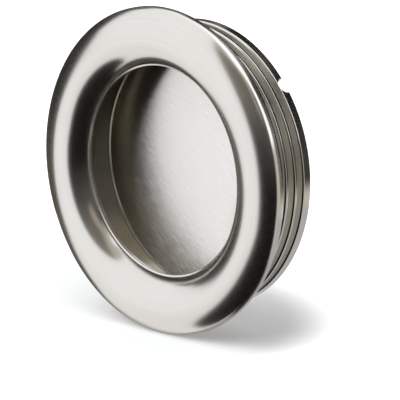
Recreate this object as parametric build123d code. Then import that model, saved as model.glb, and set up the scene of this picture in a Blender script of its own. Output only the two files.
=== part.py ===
from build123d import *
import os
from math import cos, radians, sin

# Round recessed pull for a sliding door or drawer. Each section is drawn as radius (X) against depth (Y) and
# turned about the Y axis. The front looks along -Y, the door starts at Y = 0 and its hole runs along +Y.
# The origin is on the axis, in the plane where the flange meets the door. All sizes are in millimetres.
os.makedirs("parts", exist_ok=True)

# Driving dimensions of the barrel, the part that is pushed into the drilled hole
barrel_diameter = 57.0          # over the grip ribs and the rear skirt, the size of the hole
barrel_length = 11.2
rear_wall = 1.3                 # metal between the dish's seat and the hole
rear_recess = 3.2               # from the rear edge in to the shoulder that the dish rests on
rib_height = 0.25
rib_crest = 0.5
rib_edge_round = 0.2
rib_pitch = 2.4
rib_count = 2                   # the barrel stays plain in front of them, where the door's face meets it
skirt_length = 2.15
skirt_edge_round = 0.3          # front edge of the skirt
skirt_edge_break = 0.15         # rear edge of the skirt
notch_width = 3.2
notch_depth = 1.9
notch_angle = 40.5              # degrees above the horizontal, on the right seen from the front

# Driving dimensions of the finger cavity and its lip
seat_ledge = 2.3                # width of the shoulder that the dish rests on
seat_groove = 0.2               # bevel that leaves a dark line round the dish
cavity_cove = 2.4               # round under the lip, where the fingertips pull
lip_overhang = 4.15             # from the cavity wall in to the opening
lip_thickness = 1.1
lip_back_round = 0.3
lip_edge_round = 0.15
lip_land = 0.7                  # flat ring between the opening and the foot of the crown
lip_land_height = 1.0           # from the door out to the flat ring
lip_foot_step = 0.15            # from the flat ring out to the foot of the crown
lip_foot_round = 0.3

# Driving dimensions of the flange, the crowned ring on the door's face
flange_overhang = 4.0           # how far the rim reaches past the hole
flange_edge_height = 1.3        # from the door out to the widest line of the rim
flange_back_round = 0.7
rim_round = 1.7                 # section radius of the rim
crown_inset = 5.7               # from the rim in to the highest line of the crown
crown_outer_turn = 43.6         # degrees that the crown turns outwards before the rim's round starts
crown_inner_turn = 14.0         # degrees that it turns inwards before the slope down to the lip starts

# Driving dimensions of the dish
dish_fit_gap = 0.02             # radial gap between the dish and its seat
dish_sheet = 0.8
dish_rim_inset = 0.1            # from the cavity wall in to the edge of the bowl
dish_rim_step = 0.35            # short steep wall round the bowl
dish_rim_draft = 25.0           # degrees that this wall leans inwards
dish_depth = 3.1                # from the shoulder to the deepest point of the bowl

# Radii and planes worked out from the driving dimensions
barrel_radius = barrel_diameter / 2
band_radius = barrel_radius - rib_height
seat_radius = barrel_radius - rear_wall
cavity_radius = seat_radius - seat_ledge
opening_radius = cavity_radius - lip_overhang
foot_radius = opening_radius + lip_land
flange_radius = barrel_radius + flange_overhang
crown_radius = flange_radius - crown_inset
seat_plane = barrel_length - rear_recess
skirt_plane = barrel_length - skirt_length
land_plane = -lip_land_height
foot_plane = land_plane - lip_foot_step
rim_plane = -flange_edge_height

# The crown's round is as large as fits between its highest line and the round of the rim
outer_turn = radians(crown_outer_turn)
inner_turn = radians(crown_inner_turn)
crown_round = (crown_inset - rim_round * (1 - sin(outer_turn))) / sin(outer_turn)
crown_plane = rim_plane - rim_round * cos(outer_turn) - crown_round * (1 - cos(outer_turn))


def crown_point(turn):
    """Point of the crown's round where its surface leans outwards by turn, in radians."""
    return (crown_radius + crown_round * sin(turn), crown_plane + crown_round * (1 - cos(turn)))


def corner(sketch, radius, depth):
    """Corner of a section that lies nearest to a given radius and depth."""
    return sketch.vertices().sort_by_distance((radius, depth, 0))[0]


def ring_outline():
    """Section of the ring without its ribs and skirt, as a closed face with its corners rounded."""
    outer_end = crown_point(outer_turn)
    inner_end = crown_point(-inner_turn)
    slope_start = (-cos(inner_turn), sin(inner_turn))
    with BuildSketch() as section:
        with BuildLine():
            Line((band_radius, 0), (flange_radius, 0))
            Line((flange_radius, 0), (flange_radius, rim_plane))
            TangentArc((flange_radius, rim_plane), outer_end, tangent=(0, -1))
            ThreePointArc(outer_end, (crown_radius, crown_plane), inner_end)
            TangentArc(inner_end, (foot_radius, foot_plane), tangent=slope_start)
            Line((foot_radius, foot_plane), (foot_radius, land_plane))
            Line((foot_radius, land_plane), (opening_radius, land_plane))
            Line((opening_radius, land_plane), (opening_radius, land_plane + lip_thickness))
            Line((opening_radius, land_plane + lip_thickness), (cavity_radius, land_plane + lip_thickness))
            Line((cavity_radius, land_plane + lip_thickness), (cavity_radius, seat_plane))
            Line((cavity_radius, seat_plane), (seat_radius, seat_plane))
            Line((seat_radius, seat_plane), (seat_radius, barrel_length))
            Line((seat_radius, barrel_length), (band_radius, barrel_length))
            Line((band_radius, barrel_length), (band_radius, 0))
        make_face()
        fillet(corner(section, flange_radius, 0), flange_back_round)
        fillet(corner(section, foot_radius, foot_plane), lip_foot_round)
        fillet(corner(section, opening_radius, land_plane), lip_edge_round)
        fillet(corner(section, opening_radius, land_plane + lip_thickness), lip_back_round)
        fillet(corner(section, cavity_radius, land_plane + lip_thickness), cavity_cove)
        chamfer(corner(section, cavity_radius, seat_plane), seat_groove)
    return section.sketch


def rib_outline(front):
    """Section of one grip rib that starts at a given depth: a rounded crest with flanks at 45 degrees."""
    crest_start = front + rib_height
    crest_end = crest_start + rib_crest
    with BuildSketch() as section:
        with BuildLine():
            Polyline(
                (seat_radius, front),
                (band_radius, front),
                (barrel_radius, crest_start),
                (barrel_radius, crest_end),
                (band_radius, crest_end + rib_height),
                (seat_radius, crest_end + rib_height),
                close=True,
            )
        make_face()
        fillet(corner(section, barrel_radius, crest_start), rib_edge_round)
        fillet(corner(section, barrel_radius, crest_end), rib_edge_round)
    return section.sketch


def skirt_outline():
    """Section of the smooth rear skirt, with a bevelled front edge and a broken rear edge."""
    with BuildSketch() as section:
        with BuildLine():
            Polyline(
                (seat_radius, skirt_plane),
                (band_radius, skirt_plane),
                (barrel_radius, skirt_plane + rib_height),
                (barrel_radius, barrel_length - skirt_edge_break),
                (barrel_radius - skirt_edge_break, barrel_length),
                (seat_radius, barrel_length),
                close=True,
            )
        make_face()
        fillet(corner(section, barrel_radius, skirt_plane + rib_height), skirt_edge_round)
    return section.sketch


def rib_fronts():
    """Front edges of the ribs, at an even pitch from the front edge of the skirt forwards."""
    return [skirt_plane - rib_pitch * (index + 1) for index in range(rib_count)]


def make_pull_ring():
    """Flange, lip, cavity wall and ribbed barrel in one solid, with a half-round notch in its rear edge."""
    outward = Vector(cos(radians(notch_angle)), 0, sin(radians(notch_angle)))
    notch_centre = barrel_length - notch_depth + notch_width / 2
    notch_start = outward * (seat_radius - rear_wall) + Vector(0, notch_centre, 0)
    with BuildPart() as ring:
        with BuildSketch():
            add(ring_outline())
            add(skirt_outline())
            for front in rib_fronts():
                add(rib_outline(front))
        revolve(axis=Axis.Y)
        with BuildSketch(Plane(origin=notch_start, x_dir=(0, 1, 0), z_dir=outward)):
            Circle(notch_width / 2)
            with Locations((notch_width / 2, 0)):
                Rectangle(notch_width, notch_width)
        extrude(amount=3 * rear_wall, mode=Mode.SUBTRACT)
    return ring.part


def make_dish():
    """Shallow spun bowl with a short steep wall at its edge and a flat rim that rests on the shoulder."""
    rim_radius = seat_radius - dish_fit_gap
    edge_radius = cavity_radius - dish_rim_inset
    bowl_radius = edge_radius - dish_rim_step * sin(radians(dish_rim_draft))
    bowl_plane = seat_plane + dish_rim_step
    floor_plane = seat_plane + dish_depth
    back_plane = seat_plane + dish_sheet
    with BuildPart() as dish:
        with BuildSketch():
            with BuildLine():
                TangentArc((0, floor_plane), (bowl_radius, bowl_plane), tangent=(1, 0))
                Line((bowl_radius, bowl_plane), (edge_radius, seat_plane))
                Line((edge_radius, seat_plane), (rim_radius, seat_plane))
                Line((rim_radius, seat_plane), (rim_radius, back_plane))
                Line((rim_radius, back_plane), (edge_radius + dish_sheet, back_plane))
                TangentArc(
                    (0, floor_plane + dish_sheet),
                    (edge_radius + dish_sheet, back_plane),
                    tangent=(1, 0),
                )
                Line((0, floor_plane + dish_sheet), (0, floor_plane))
            make_face()
        revolve(axis=Axis.Y)
    return dish.part


export_step(make_pull_ring(), "parts/pull_ring.step")
export_step(make_dish(), "parts/dish.step")
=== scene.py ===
import math

import bpy
import numpy as np
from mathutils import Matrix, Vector


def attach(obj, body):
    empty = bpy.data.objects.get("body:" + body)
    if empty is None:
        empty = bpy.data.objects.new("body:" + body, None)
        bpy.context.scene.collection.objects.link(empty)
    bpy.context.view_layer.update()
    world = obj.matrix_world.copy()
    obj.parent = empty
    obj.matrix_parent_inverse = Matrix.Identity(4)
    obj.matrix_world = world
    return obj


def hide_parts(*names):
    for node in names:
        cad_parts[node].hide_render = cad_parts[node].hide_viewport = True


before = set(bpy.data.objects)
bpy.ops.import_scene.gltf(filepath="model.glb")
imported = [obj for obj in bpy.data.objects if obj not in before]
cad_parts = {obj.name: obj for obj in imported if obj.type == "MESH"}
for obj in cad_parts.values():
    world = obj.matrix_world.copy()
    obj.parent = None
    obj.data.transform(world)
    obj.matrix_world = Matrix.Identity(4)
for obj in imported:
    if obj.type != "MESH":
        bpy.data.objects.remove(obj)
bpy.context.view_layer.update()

# The pull is drawn in millimetres, as radius against depth, and turned about the Y axis. Camera, lamp and stage are
# in metres. Directions are in degrees, with the azimuth measured from -Y towards +X.
MM = 0.001

# Fineness of the meshes
SEGMENTS = 448                  # steps round each turned piece
SUPPORT = 0.03                  # narrow loops that keep flat faces flat beside a rounded edge
SHORT_RUN = 6 * SUPPORT         # a shorter run has none
SAME_POINT = 1e-4               # points of a section that are nearer than this are one
TINY_R = 1e-6                   # a smaller radius is a pole, and none is divided by
CREASE = math.radians(30)       # steeper edges stay crisp, the rest is shaded smooth
EDGE_STEPS = 6
BACK_STEPS = 8
RIM_STEPS = 12
CROWN_STEPS = 30
SLOPE_STEPS = 26
COVE_STEPS = 14
NOTCH_STEPS = 32
BOWL_STEPS = 72
REAR_STEPS = 40
DISC_STEPS = 256

# Barrel of the ring, the same as the solid's
BARREL_R = 28.5
BARREL_L = 11.2
RIB_H = 0.25
RIB_CREST = 0.5
RIB_ROUND = 0.2
RIB_PITCH = 2.4
RIBS = 2
BAND_R = BARREL_R - RIB_H
SKIRT_Y = 9.05
SKIRT_ROUND = 0.3
SKIRT_BREAK = 0.15
SKIRT_BREAK_ROUND = 0.05
NOTCH_W = 3.2
NOTCH_DEPTH = 1.9
NOTCH_ANGLE = math.radians(40.5)
CUTTER_SIDE = 1.5               # how far the notch's cutter reaches past the metal, across it
CUTTER_REAR = 2.0               # and past the rear edge

# Cavity and lip of the ring. The land, the flat ring round the opening, is narrower than the solid's and tipped, as
# its reflections in the photograph show.
SEAT_R = 27.2
SEAT_Y = 8.0
SEAT_GROOVE = 0.2
CAVITY_R = 24.9
COVE = 2.4
OPENING_R = 20.75
LIP_BACK_Y = 0.1
LIP_BACK_ROUND = 0.3
LIP_EDGE_ROUND = 0.15
LAND_Y = -1.0
LAND_TILT = 0.17                # how much deeper the land is at the opening
FOOT_R = 21.1
FOOT_Y = -1.15
FOOT_BREAK_R = 0.01             # narrow bevel where the slope ends
FOOT_BREAK_Y = 0.03
FOOT_LOOP = 0.04                # loops that keep the step below it straight

# Flange of the ring, the same as the solid's
FLANGE_R = 32.5
BACK_ROUND = 0.7
RIM_Y = -1.3
RIM_ROUND = 1.7
CROWN_R = 26.8
OUTER_TURN = math.radians(43.6)
INNER_TURN = math.radians(14.0)
CROWN_ROUND = (FLANGE_R - CROWN_R - RIM_ROUND * (1 - math.sin(OUTER_TURN))) / math.sin(OUTER_TURN)
CROWN_Y = RIM_Y - RIM_ROUND * math.cos(OUTER_TURN) - CROWN_ROUND * (1 - math.cos(OUTER_TURN))

# Dish, the same as the solid's
DISH_R = 27.18
DISH_SHEET = 0.8
DISH_EDGE_R = 24.8
DISH_STEP = 0.35
DISH_DRAFT = math.radians(25.0)
DISH_BOWL_R = DISH_EDGE_R - DISH_STEP * math.sin(DISH_DRAFT)
DISH_FLOOR_Y = 11.1

FORWARDS = -math.pi / 2         # angle of the front in a section, measured as arc() does


def arc(centre, radius, start, end, steps):
    """Points of an arc, at angles in radians measured from +radius towards +depth."""
    return [
        (centre[0] + radius * math.cos(a), centre[1] + radius * math.sin(a))
        for a in np.linspace(start, end, steps + 1)
    ]


def line(a, b):
    """Points of a straight run, with a narrow supporting loop near each end."""
    length = math.dist(a, b)
    shares = [0.0, 1.0]
    if length > SHORT_RUN:
        shares = [0.0, SUPPORT / length, 1 - SUPPORT / length, 1.0]
    return [(a[0] + (b[0] - a[0]) * t, a[1] + (b[1] - a[1]) * t) for t in shares]


def tangent_arc(a, b, turn, steps):
    """Arc that leaves a in the direction turn and ends at b."""
    dx, dy = b[0] - a[0], b[1] - a[1]
    normal = (-math.sin(turn), math.cos(turn))
    reach = (dx * dx + dy * dy) / (2 * (dx * normal[0] + dy * normal[1]))
    centre = (a[0] + normal[0] * reach, a[1] + normal[1] * reach)
    start = math.atan2(a[1] - centre[1], a[0] - centre[0])
    end = math.atan2(b[1] - centre[1], b[0] - centre[0])
    if reach > 0 and end < start:
        end += 2 * math.pi
    if reach < 0 and end > start:
        end -= 2 * math.pi
    return arc(centre, abs(reach), start, end, steps)


def rounded(corner, before, after, radius, steps):
    """Round of a corner between two straight directions, each given as a unit step away from it."""
    half = math.acos(before[0] * after[0] + before[1] * after[1]) / 2
    reach = radius / math.tan(half)
    a = (corner[0] + before[0] * reach, corner[1] + before[1] * reach)
    b = (corner[0] + after[0] * reach, corner[1] + after[1] * reach)
    middle = (before[0] + after[0], before[1] + after[1])
    size = math.hypot(*middle)
    away = radius / math.sin(half)
    centre = (corner[0] + middle[0] / size * away, corner[1] + middle[1] / size * away)
    start = math.atan2(a[1] - centre[1], a[0] - centre[0])
    end = math.atan2(b[1] - centre[1], b[0] - centre[0])
    while end - start > math.pi:
        end -= 2 * math.pi
    while start - end > math.pi:
        end += 2 * math.pi
    return arc(centre, radius, start, end, steps)


def path(*corners):
    """Points along straight runs whose corners are (radius, depth, round), the round being 0 for a sharp one."""
    points = []
    for i, (x, y, size) in enumerate(corners):
        if size == 0:
            points.append((x, y))
            continue
        steps = []
        for other in (corners[i - 1], corners[i + 1]):
            length = math.dist((x, y), other[:2])
            steps.append(((other[0] - x) / length, (other[1] - y) / length))
        points += rounded((x, y), steps[0], steps[1], size, EDGE_STEPS)
    full = [points[0]]
    for a, b in zip(points, points[1:]):
        full += line(a, b)[1:]
    return full


def lathe(name, runs, materials, closed):
    """Turns a section, given as (material name, points) runs, into one smooth mesh about the Y axis."""
    points, faces_of = [], []
    for slot, run in runs:
        for point in run:
            if points and math.dist(points[-1], point) < SAME_POINT:
                continue
            points.append(point)
            faces_of.append(slot)
    if closed and math.dist(points[0], points[-1]) < SAME_POINT:
        points.pop()
        faces_of.pop()
    names = list(materials)
    count = len(points)
    turns = np.arange(SEGMENTS) * (2 * math.pi / SEGMENTS)
    cos, sin = np.cos(turns), np.sin(turns)
    first, vertices = [], []
    for radius, depth in points:
        first.append(len(vertices))
        if radius < TINY_R:
            vertices.append((0.0, depth * MM, 0.0))
        else:
            vertices.extend((radius * c * MM, depth * MM, radius * s * MM) for c, s in zip(cos, sin))
    faces, indices = [], []
    for i in range(count if closed else count - 1):
        j = (i + 1) % count
        a, b = first[i], first[j]
        for k in range(SEGMENTS):
            n = (k + 1) % SEGMENTS
            if points[i][0] < TINY_R:
                faces.append((a, b + k, b + n))
            elif points[j][0] < TINY_R:
                faces.append((a + n, a + k, b))
            else:
                faces.append((a + k, b + k, b + n, a + n))
            indices.append(names.index(faces_of[j]))
    mesh = bpy.data.meshes.new(name)
    mesh.from_pydata(vertices, [], faces)
    for material in materials.values():
        mesh.materials.append(material)
    mesh.polygons.foreach_set("material_index", indices)
    mesh.polygons.foreach_set("use_smooth", [True] * len(faces))
    mesh.update()
    return link(name, mesh)


def link(name, data):
    """New object of the scene that shows a mesh, camera or lamp."""
    item = bpy.data.objects.new(name, data)
    bpy.context.scene.collection.objects.link(item)
    return item


def ring_runs():
    """Section of the ring, from the root of the flange's back round the front and back again."""
    crown_centre = (CROWN_R, CROWN_Y + CROWN_ROUND)
    slope_start = (
        CROWN_R - CROWN_ROUND * math.sin(INNER_TURN),
        CROWN_Y + CROWN_ROUND * (1 - math.cos(INNER_TURN)),
    )
    slope = tangent_arc(slope_start, (FOOT_R, FOOT_Y), math.pi - INNER_TURN, SLOPE_STEPS)
    groove_start = (CAVITY_R, SEAT_Y - SEAT_GROOVE)
    groove_end = (CAVITY_R + SEAT_GROOVE, SEAT_Y)
    runs = [
        ("plain", line((BAND_R, 0), (FLANGE_R - BACK_ROUND, 0))),
        ("face", arc((FLANGE_R - BACK_ROUND, -BACK_ROUND), BACK_ROUND, math.pi / 2, 0, BACK_STEPS)),
        ("face", line((FLANGE_R, -BACK_ROUND), (FLANGE_R, RIM_Y))),
        ("face", arc((FLANGE_R - RIM_ROUND, RIM_Y), RIM_ROUND, 0, FORWARDS + OUTER_TURN, RIM_STEPS)),
        ("face", arc(crown_centre, CROWN_ROUND, FORWARDS + OUTER_TURN, FORWARDS - INNER_TURN, CROWN_STEPS)),
        ("face", slope[:-1]),
        ("face", [(FOOT_R + FOOT_BREAK_R, FOOT_Y - FOOT_BREAK_Y), (FOOT_R, FOOT_Y + FOOT_LOOP)]),
        ("land", line((FOOT_R, LAND_Y - FOOT_LOOP), (FOOT_R, LAND_Y))),
        ("land", path(
            (FOOT_R, LAND_Y, 0),
            (OPENING_R, LAND_Y + LAND_TILT, LIP_EDGE_ROUND),
            (OPENING_R, LIP_BACK_Y - LIP_BACK_ROUND, 0),
        )),
        ("wall", rounded((OPENING_R, LIP_BACK_Y), (0, -1), (1, 0), LIP_BACK_ROUND, EDGE_STEPS)),
        ("wall", line((OPENING_R + LIP_BACK_ROUND, LIP_BACK_Y), (CAVITY_R - COVE, LIP_BACK_Y))),
        ("wall", rounded((CAVITY_R, LIP_BACK_Y), (-1, 0), (0, 1), COVE, COVE_STEPS)),
        ("wall", line((CAVITY_R, LIP_BACK_Y + COVE), groove_start)),
        ("wall", line(groove_start, groove_end)),
        ("plain", line(groove_end, (SEAT_R, SEAT_Y))),
        ("plain", line((SEAT_R, SEAT_Y), (SEAT_R, BARREL_L))),
        ("skirt", path(
            (SEAT_R, BARREL_L, 0),
            (BARREL_R - SKIRT_BREAK, BARREL_L, SKIRT_BREAK_ROUND),
            (BARREL_R, BARREL_L - SKIRT_BREAK, SKIRT_BREAK_ROUND),
            (BARREL_R, SKIRT_Y + RIB_H, SKIRT_ROUND),
            (BAND_R, SKIRT_Y, 0),
        )),
    ]
    edge = SKIRT_Y
    for index in range(RIBS):
        front = SKIRT_Y - RIB_PITCH * (index + 1)
        rear = front + 2 * RIB_H + RIB_CREST
        runs.append(("band", line((BAND_R, edge), (BAND_R, rear))))
        runs.append(("crest", path(
            (BAND_R, rear, 0),
            (BARREL_R, rear - RIB_H, RIB_ROUND),
            (BARREL_R, front + RIB_H, RIB_ROUND),
            (BAND_R, front, 0),
        )))
        edge = front
    runs.append(("band", line((BAND_R, edge), (BAND_R, 0))))
    return runs


def dish_runs():
    """Section of the dish, from the middle of its front out to the rim and back to the middle of its rear."""
    bowl_y = SEAT_Y + DISH_STEP
    back_y = SEAT_Y + DISH_SHEET
    back_r = DISH_EDGE_R + DISH_SHEET
    return [
        ("bowl", tangent_arc((0, DISH_FLOOR_Y), (DISH_BOWL_R, bowl_y), 0, BOWL_STEPS)),
        ("bowl", line((DISH_BOWL_R, bowl_y), (DISH_EDGE_R, SEAT_Y))),
        ("rim", line((DISH_EDGE_R, SEAT_Y), (DISH_R, SEAT_Y))),
        ("rim", line((DISH_R, SEAT_Y), (DISH_R, back_y))),
        ("rim", line((DISH_R, back_y), (back_r, back_y))),
        ("rear", tangent_arc((0, DISH_FLOOR_Y + DISH_SHEET), (back_r, back_y), 0, REAR_STEPS)[::-1]),
    ]


class Nodes:
    """Small helper that adds nodes to a tree and wires numbers or sockets into them."""

    def __init__(self, tree):
        self.tree = tree

    def add(self, kind, **settings):
        node = self.tree.nodes.new(kind)
        for key, value in settings.items():
            setattr(node, key, value)
        return node

    def join(self, value, socket):
        if isinstance(value, bpy.types.NodeSocket):
            self.tree.links.new(value, socket)
        else:
            socket.default_value = value

    def join_all(self, values, sockets):
        for value, socket in zip(values, sockets):
            self.join(value, socket)

    def math(self, operation, *values):
        node = self.add("ShaderNodeMath", operation=operation)
        self.join_all(values, node.inputs)
        return node.outputs[0]

    def ramp(self, value, low, high, to_low=0.0, to_high=1.0):
        """Smooth step from to_low at low to to_high at high."""
        node = self.add("ShaderNodeMapRange", interpolation_type="SMOOTHSTEP")
        self.join_all((value, low, high, to_low, to_high), node.inputs)
        return node.outputs[0]

    def bent_line(self, value, *corners):
        """Height of a bent line at a value, from its corners as (value, height). It is level past both ends."""
        height = corners[0][1]
        for (here, low), (there, high) in zip(corners, corners[1:]):
            if low == high:
                continue
            node = self.add("ShaderNodeMapRange", interpolation_type="LINEAR", clamp=True)
            self.join_all((value, here, there, 0.0, high - low), node.inputs)
            height = self.math("ADD", node.outputs[0], height)
        return height

    def product(self, *shares):
        result = shares[0]
        for share in shares[1:]:
            result = self.math("MULTIPLY", result, share)
        return result

    def total(self, *values):
        result = values[0]
        for value in values[1:]:
            result = self.math("ADD", result, value)
        return result

    def length(self, a, b):
        """Length of the step (a, b)."""
        return self.math("SQRT", self.total(self.product(a, a), self.product(b, b)))

    def mix(self, share, a, b):
        """Colour between a and b. The node's colour sockets are its inputs 6 and 7 and its output 2."""
        node = self.add("ShaderNodeMix", data_type="RGBA")
        self.join_all((share, a, b), (node.inputs[0], node.inputs[6], node.inputs[7]))
        return node.outputs[2]

    def point(self):
        """The shaded point, in the object's own metres."""
        return self.add("ShaderNodeTexCoord").outputs["Object"]

    def split(self, vector):
        node = self.add("ShaderNodeSeparateXYZ")
        self.join(vector, node.inputs[0])
        return node.outputs

    def vector(self, x, y, z):
        node = self.add("ShaderNodeCombineXYZ")
        self.join_all((x, y, z), node.inputs)
        return node.outputs[0]

    def noise(self, vector, scale=1.0, detail=3.0, roughness=0.5, w=None):
        node = self.add("ShaderNodeTexNoise", noise_dimensions="3D" if w is None else "4D")
        self.join(vector, node.inputs["Vector"])
        if w is not None:
            self.join(w, node.inputs["W"])
        node.inputs["Scale"].default_value = scale
        node.inputs["Detail"].default_value = detail
        node.inputs["Roughness"].default_value = roughness
        return node.outputs[0]


MARKS_ROUGHNESS = 0.6
MARKS_SHARE = 0.7               # of the marks in the tone, the rest being clouds
CLOUD_SCALE = 90.0              # clouds per metre
GRAIN_SCALE = 5200.0            # pits per metre
GRAIN_DETAIL = 2.0
MIDDLE_TONE = 0.5
TONE_RANGE = (0.35, 0.65)       # from the darkest tone to the lightest
ACROSS_THE_MARKS = 0.25         # turn of the highlight, so that it spreads across the marks


def brushed_metal(name, colour, rough, anisotropy, lines, streak, relief, grain=0.0, spread=0.04, tint=0.04,
                  straight=None):
    """Plated metal with fine marks, in rings as turning leaves them, or straight ones at an angle above +X.

    lines is their number per millimetre across, streak how often they change on the way round or, when straight,
    per millimetre, relief their depth in thousandths of a millimetre, grain the share of fine pits, spread the
    change of roughness and tint of colour.
    """
    material = bpy.data.materials.new(name)
    material.use_nodes = True
    n = Nodes(material.node_tree)
    shader = material.node_tree.nodes["Principled BSDF"]
    point = n.point()
    x, y, z = n.split(point)
    if straight is None:
        radius = n.math("MAXIMUM", n.length(x, z), TINY_R)
        across = n.product(radius, lines / MM)
        along = n.product(y, lines / MM)
        cosine = n.product(n.math("DIVIDE", x, radius), streak)
        sine = n.product(n.math("DIVIDE", z, radius), streak)
        marks = n.noise(n.vector(across, along, cosine), roughness=MARKS_ROUGHNESS, w=sine)
        tangent = n.add("ShaderNodeTangent", direction_type="RADIAL", axis="Y").outputs[0]
    else:
        cos, sin = math.cos(straight), math.sin(straight)
        across = n.total(n.product(x, -sin * lines / MM), n.product(z, cos * lines / MM))
        along = n.total(n.product(x, cos * streak / MM), n.product(z, sin * streak / MM))
        marks = n.noise(n.vector(across, along, 0.0), roughness=MARKS_ROUGHNESS)
        tangent = n.vector(cos, 0.0, sin)
    clouds = n.noise(point, CLOUD_SCALE)
    dark = tuple(c * (1 - tint) for c in colour) + (1.0,)
    light = tuple(min(1.0, c * (1 + tint)) for c in colour) + (1.0,)
    tone = n.total(n.product(marks, MARKS_SHARE), n.product(clouds, 1 - MARKS_SHARE))
    n.join(n.mix(n.ramp(tone, *TONE_RANGE), dark, light), shader.inputs["Base Color"])
    uneven = n.product(n.math("SUBTRACT", tone, MIDDLE_TONE), 2 * spread)
    n.join(n.total(uneven, rough), shader.inputs["Roughness"])
    shader.inputs["Metallic"].default_value = 1.0
    shader.inputs["Anisotropic"].default_value = anisotropy
    shader.inputs["Anisotropic Rotation"].default_value = ACROSS_THE_MARKS
    n.join(tangent, shader.inputs["Tangent"])
    height = marks
    if grain:
        pits = n.noise(point, GRAIN_SCALE, GRAIN_DETAIL)
        height = n.total(n.product(marks, 1.0 - grain), n.product(pits, grain))
    bump = n.add("ShaderNodeBump")
    bump.inputs["Strength"].default_value = 1.0
    bump.inputs["Distance"].default_value = relief * MM * MM
    n.join(height, bump.inputs["Height"])
    n.join(bump.outputs[0], shader.inputs["Normal"])
    return material


NICKEL = (0.76, 0.745, 0.715)
BRIGHT_NICKEL = (0.90, 0.885, 0.87)
# painted shade: the cavity wall's nickel is made darker and warmer, standing for the dim reflections deep inside
# the cavity
SHADED_WALL_NICKEL = (0.58, 0.55, 0.46)
# dull cast finish of the recessed bands between the ribs, darkened further as painted shade of these recesses
CAST_AND_SHADE = (0.46, 0.435, 0.36)
BOWL_BRUSHING = math.radians(-29)
RING_MATERIALS = {
    "face": brushed_metal("nickel_satin_face", NICKEL, rough=0.195, anisotropy=0.6, lines=6.0, streak=1.5,
                          relief=0.05, spread=0.006, tint=0.02),
    "land": brushed_metal("nickel_lip_land", NICKEL, rough=0.20, anisotropy=0.5, lines=4.0, streak=2.0, relief=0.3),
    "wall": brushed_metal("nickel_cavity_wall_shaded", SHADED_WALL_NICKEL, rough=0.20, anisotropy=0.3, lines=3.0, streak=3.0,
                          relief=0.5),
    "plain": brushed_metal("nickel_plain_rear", NICKEL, rough=0.32, anisotropy=0.3, lines=3.0, streak=3.0,
                           relief=1.0),
    "skirt": brushed_metal("nickel_bright_skirt", NICKEL, rough=0.12, anisotropy=0.2, lines=3.0, streak=3.0,
                           relief=0.3, spread=0.02),
    "band": brushed_metal("nickel_cast_band_and_shade", CAST_AND_SHADE, rough=0.36, anisotropy=0.0, lines=2.0, streak=12.0,
                          relief=26.0, grain=0.8, spread=0.15),
    "crest": brushed_metal("nickel_rib_crest", NICKEL, rough=0.14, anisotropy=0.2, lines=4.0, streak=3.0,
                           relief=0.3, spread=0.02),
}
DISH_MATERIALS = {
    "bowl": brushed_metal("nickel_brushed_bowl", BRIGHT_NICKEL, rough=0.215, anisotropy=1.0, lines=5.0, streak=0.35,
                          relief=0.35, spread=0.12, tint=0.07, straight=BOWL_BRUSHING),
    "rim": brushed_metal("nickel_dish_rim", NICKEL, rough=0.18, anisotropy=0.3, lines=4.0, streak=2.0, relief=0.3),
    "rear": brushed_metal("nickel_dish_rear", NICKEL, rough=0.34, anisotropy=0.4, lines=2.5, streak=3.0,
                          relief=1.0),
}


def cut_notch(piece):
    """Half-round bite out of the barrel's rear edge."""
    outward = Vector((math.cos(NOTCH_ANGLE), 0, math.sin(NOTCH_ANGLE)))
    side = outward.cross(Vector((0, 1, 0)))
    centre_y = BARREL_L - NOTCH_DEPTH + NOTCH_W / 2
    outline = arc((0, centre_y), NOTCH_W / 2, math.pi, 2 * math.pi, NOTCH_STEPS)
    outline += [(NOTCH_W / 2, BARREL_L + CUTTER_REAR), (-NOTCH_W / 2, BARREL_L + CUTTER_REAR)]
    vertices = []
    for reach in (SEAT_R - CUTTER_SIDE, BARREL_R + CUTTER_SIDE):
        for across, depth in outline:
            vertices.append((outward * reach + side * across + Vector((0, depth, 0))) * MM)
    count = len(outline)
    faces = [tuple(range(count)), tuple(range(2 * count - 1, count - 1, -1))]
    faces += [(i, (i + 1) % count, (i + 1) % count + count, i + count)[::-1] for i in range(count)]
    mesh = bpy.data.meshes.new("notch_cutter")
    mesh.from_pydata([tuple(v) for v in vertices], [], faces)
    for material in piece.data.materials:
        mesh.materials.append(material)
    mesh.polygons.foreach_set("material_index", [list(RING_MATERIALS).index("skirt")] * len(faces))
    cutter = link("notch_cutter", mesh)
    cut = piece.modifiers.new("notch", "BOOLEAN")
    cut.operation = "DIFFERENCE"
    cut.solver = "EXACT"
    cut.object = cutter
    graph = bpy.context.evaluated_depsgraph_get()
    notched = bpy.data.meshes.new_from_object(piece.evaluated_get(graph))
    piece.modifiers.clear()
    piece.data = notched
    bpy.data.objects.remove(cutter)


ring = lathe("recessed_pull_ring", ring_runs(), RING_MATERIALS, closed=True)
cut_notch(ring)
ring.data.set_sharp_from_angle(angle=CREASE)
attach(ring, "root")
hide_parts("pull_ring")

dish = lathe("recessed_pull_dish", dish_runs(), DISH_MATERIALS, closed=False)
dish.data.set_sharp_from_angle(angle=CREASE)
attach(dish, "root")
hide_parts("dish")

# Camera at the photograph's angle, with a long lens, aimed at a point just beside the middle of the pull
CAMERA_AZIMUTH = 45.436
CAMERA_ELEVATION = 12.712
CAMERA_DISTANCE = 1.0
CAMERA_AIM = Vector((0.00611, 0.00313, -0.00554))
CAMERA_SENSOR = 36.0
CAMERA_LENS = 460.1
CAMERA_RANGE = (0.01, 50.0)

# Lamp and world, at a level at which a colour renders about as written
KEY_AZIMUTH = -5
KEY_ELEVATION = 50
KEY_DISTANCE = 1.2
KEY_SIZE = 1.6
KEY_WATTS = 16.0
WORLD_LIGHT = 0.36
WHITE = (1, 1, 1, 1)

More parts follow.
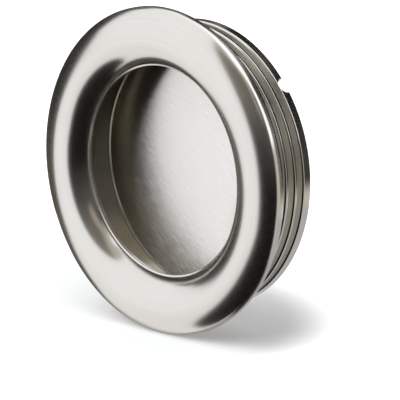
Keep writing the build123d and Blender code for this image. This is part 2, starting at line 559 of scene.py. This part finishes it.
# Floor that the pull stands on. Its white is a glow that lights nothing and grows round a point beside the pull, so
# the shadow ends where the photograph's does.
FLOOR_R = 4.0
FLOOR_Z = -FLANGE_R * MM
FLOOR_COLOUR = (0.86, 0.87, 0.88, 1)
GLOW_X, GLOW_Y = -0.026, -0.014
NEAR_GLOW = (0.051, 0.066, 0.22, 0.77)      # from one distance to another, from one strength to another
FAR_GLOW = (0.15, 0.6, 0.0, 0.25)

# Room that only the reflections show, and in it a twin of the floor behind the pull
BLACK = (0.010, 0.009, 0.008, 1)
DOME_R = 2.5
DOME_SEGMENTS = 64
DOME_RINGS = 32
TWIN_R = 0.09
TWIN_FRONT = 0.015              # depth at which the twin starts
TWIN_LIFT = 0.00002             # how far it lies above the floor
# painted shade: the twin glows an even grey, darker than the lit floor, standing for the floor in the pull's shadow
TWIN_SHADE_GREY = 0.50


def towards(azimuth, elevation):
    """Unit step in a direction."""
    turn, rise = math.radians(azimuth), math.radians(elevation)
    return Vector((math.sin(turn) * math.cos(rise), -math.cos(turn) * math.cos(rise), math.sin(rise)))


def look_from(item, aim, direction, distance):
    """Puts a camera or lamp at a distance from a point, in a direction, so that it looks at the point."""
    item.location = aim + direction * distance
    item.rotation_mode = "QUATERNION"
    item.rotation_quaternion = direction.to_track_quat("Z", "Y")


def grey(value, warmth=0.0):
    """Grey of the studio, with its green and blue taken down a little where it is warm."""
    return (value, value * (1 - 0.4 * warmth), value * (1 - warmth), 1)


def white_share(n):
    """1 for a camera, glossy or transmission ray, else 0."""
    rays = n.add("ShaderNodeLightPath")
    seen = n.math("MAXIMUM", rays.outputs["Is Camera Ray"], rays.outputs["Is Glossy Ray"])
    return n.math("MAXIMUM", seen, rays.outputs["Is Transmission Ray"])


def bare_material(item, name):
    """Gives an object a material without a shader, and returns a helper for its nodes and its output socket."""
    material = bpy.data.materials.new(name)
    material.use_nodes = True
    material.cycles.emission_sampling = "NONE"
    item.data.materials.append(material)
    tree = material.node_tree
    tree.nodes.remove(tree.nodes["Principled BSDF"])
    return Nodes(tree), tree.nodes["Material Output"].inputs["Surface"]


def floor_disc(name, radius, z, front):
    """Flat stage disc, cut off straight in front of the depth given as front."""
    mesh = bpy.data.meshes.new(name)
    turns = [2 * math.pi * i / DISC_STEPS for i in range(DISC_STEPS)]
    points = [(radius * math.cos(t), max(front, radius * math.sin(t)), z) for t in turns]
    mesh.from_pydata(points, [], [tuple(range(DISC_STEPS))])
    item = link(name, mesh)
    return item


def show_in_reflections_only(item):
    item.visible_camera = False
    item.visible_diffuse = False
    item.visible_shadow = False
    item.visible_transmission = False
    item.visible_volume_scatter = False


def make_camera():
    """Camera of the photograph."""
    data = bpy.data.cameras.new("camera")
    data.sensor_width = CAMERA_SENSOR
    data.lens = CAMERA_LENS
    data.clip_start, data.clip_end = CAMERA_RANGE
    camera = link("camera", data)
    look_from(camera, CAMERA_AIM, towards(CAMERA_AZIMUTH, CAMERA_ELEVATION), CAMERA_DISTANCE)
    bpy.context.scene.camera = camera


def make_floor():
    """Plain pale floor, white to the camera except close to the pull."""
    floor = floor_disc("floor", FLOOR_R, FLOOR_Z, -FLOOR_R)
    floor.visible_glossy = False
    n, surface = bare_material(floor, "floor_white")
    diffuse = n.add("ShaderNodeBsdfDiffuse")
    diffuse.inputs["Color"].default_value = FLOOR_COLOUR
    x, y, _ = n.split(n.point())
    distance = n.length(n.math("SUBTRACT", x, GLOW_X), n.math("SUBTRACT", y, GLOW_Y))
    strength = n.total(n.ramp(distance, *NEAR_GLOW), n.ramp(distance, *FAR_GLOW))
    glow = n.add("ShaderNodeEmission")
    glow.inputs["Color"].default_value = WHITE
    n.join(n.product(white_share(n), strength), glow.inputs["Strength"])
    both = n.add("ShaderNodeAddShader")
    n.join(diffuse.outputs[0], both.inputs[0])
    n.join(glow.outputs[0], both.inputs[1])
    n.join(both.outputs[0], surface)


def make_world():
    """Even world light behind a white backdrop."""
    world = bpy.data.worlds.new("studio")
    bpy.context.scene.world = world
    world.use_nodes = True
    world.cycles.sampling_method = "NONE"
    n = Nodes(world.node_tree)
    background = world.node_tree.nodes["Background"]
    background.inputs["Color"].default_value = WHITE
    strength = n.total(n.product(white_share(n), 1 - WORLD_LIGHT), WORLD_LIGHT)
    n.join(strength, background.inputs["Strength"])


def make_key():
    """One round softbox, in front and above, that the metal doesn't mirror."""
    data = bpy.data.lights.new("key_softbox", "AREA")
    data.shape = "DISK"
    data.size = KEY_SIZE
    data.energy = KEY_WATTS
    key = link("key_softbox", data)
    look_from(key, Vector((0, 0, 0)), towards(KEY_AZIMUTH, KEY_ELEVATION), KEY_DISTANCE)
    key.visible_glossy = False


def make_dome():
    """Room round the pull that only its reflections show: softboxes, and the dark sides that shape the metal."""
    bpy.ops.mesh.primitive_uv_sphere_add(segments=DOME_SEGMENTS, ring_count=DOME_RINGS, radius=DOME_R)
    dome = bpy.context.object
    dome.name = "studio_dome"
    show_in_reflections_only(dome)
    n, surface = bare_material(dome, "studio_dome")
    x, y, z = n.split(n.point())
    azimuth = n.product(n.math("ARCTAN2", x, n.product(y, -1.0)), 180 / math.pi)
    elevation = n.product(n.math("ARCTAN2", z, n.length(x, y)), 180 / math.pi)
    turned = n.math("MODULO", n.total(azimuth, 360.0), 360.0)

    def paint(colour, over, *borders):
        """Lays a colour over another within soft borders, each given as (angle, outside, inside)."""
        return n.mix(n.product(*[n.ramp(*border) for border in borders]), colour, over)

    # big softbox on the left and overhead, dimmer low down and on the floor at the left
    room = paint(grey(1.04), grey(0.92, 0.03), (elevation, -8, -40))
    room = paint(room, grey(1.20), (azimuth, -70, -110), (elevation, 40, 60))
    room = paint(room, grey(0.40, 0.12), (azimuth, -90, -108), (elevation, -27, -33))

    # softbox on the right and behind, above a warm wall and a floor that gets dark
    room = paint(room, grey(1.40), (turned, 30, 60), (turned, 228, 208), (elevation, 13, 20))
    room = paint(room, grey(0.60, 0.17), (turned, 80, 88), (turned, 152, 140), (elevation, 20, 13))
    room = paint(room, grey(0.62, 0.08), (turned, 80, 88), (turned, 215, 195), (elevation, -27, -34))
    room = paint(room, grey(0.035, 0.10), (turned, 80, 88), (turned, 215, 195), (elevation, -42, -56))

    # dark far side behind the pull
    room = paint(room, grey(0.02, 0.10), (turned, 128, 133), (turned, 232, 222), (elevation, 52, 48),
                 (elevation, -19, -8))

    # dark side on the left, pointed towards the front
    top = n.bent_line(azimuth, (-53, -9), (-72, 12), (-75, 12), (-90, 40))
    foot = n.bent_line(azimuth, (-53, -9), (-72, -22), (-75, -22), (-92, -31))
    shade = paint(grey(0.030, 0.20), grey(0.085, 0.30), (elevation, -4, -14))
    shade = paint(shade, grey(0.17, 0.05), (azimuth, -94, -112), (elevation, 12, 22))
    shade = paint(shade, grey(0.11, 0.25), (azimuth, -100, -125), (elevation, 18, 10))
    room = paint(room, shade, (n.math("SUBTRACT", elevation, top), 1, -2),
                 (n.math("SUBTRACT", elevation, foot), -1, 2), (azimuth, -146, -138))

    # dark front, where the camera stands: black low down, warm brown above
    left_edge = n.bent_line(elevation, (55, -12), (0, -1), (-23, -1), (-40, -27), (-64, -68))
    right_edge = n.bent_line(elevation, (70, 40), (62, 86), (-28, 86), (-62, 130))
    shade = paint(BLACK, grey(0.10, 0.10), (elevation, -14, 32))
    shade = paint(shade, grey(0.19, 0.24), (elevation, 8, 32), (azimuth, 36, 12))
    shade = paint(shade, grey(0.55, 0.16), (elevation, 46, 62))
    shade = paint(shade, grey(0.45, 0.22), (azimuth, 26, 44), (azimuth, 62, 52), (elevation, 24, 36),
                  (elevation, 62, 54))
    room = paint(room, shade, (n.math("SUBTRACT", azimuth, left_edge), -3, 3),
                 (n.math("SUBTRACT", azimuth, right_edge), 2, -2), (elevation, 84, 74))

    glow = n.add("ShaderNodeEmission")
    n.join(room, glow.inputs["Color"])
    n.join(glow.outputs[0], surface)


def make_floor_twin():
    """Floor behind the pull as the metal sees it, its shade painted as an even grey glow. In front of it the dome's
    dark lower half stands for the room.
    """
    twin = floor_disc("floor_in_reflections", TWIN_R, FLOOR_Z + TWIN_LIFT, TWIN_FRONT)
    show_in_reflections_only(twin)
    n, surface = bare_material(twin, "floor_in_reflections")
    glow = n.add("ShaderNodeEmission")
    glow.inputs["Color"].default_value = grey(TWIN_SHADE_GREY)
    n.join(glow.outputs[0], surface)


make_camera()
make_floor()
make_world()
make_key()
make_dome()
make_floor_twin()
bpy.context.scene.view_settings.view_transform = "Standard"
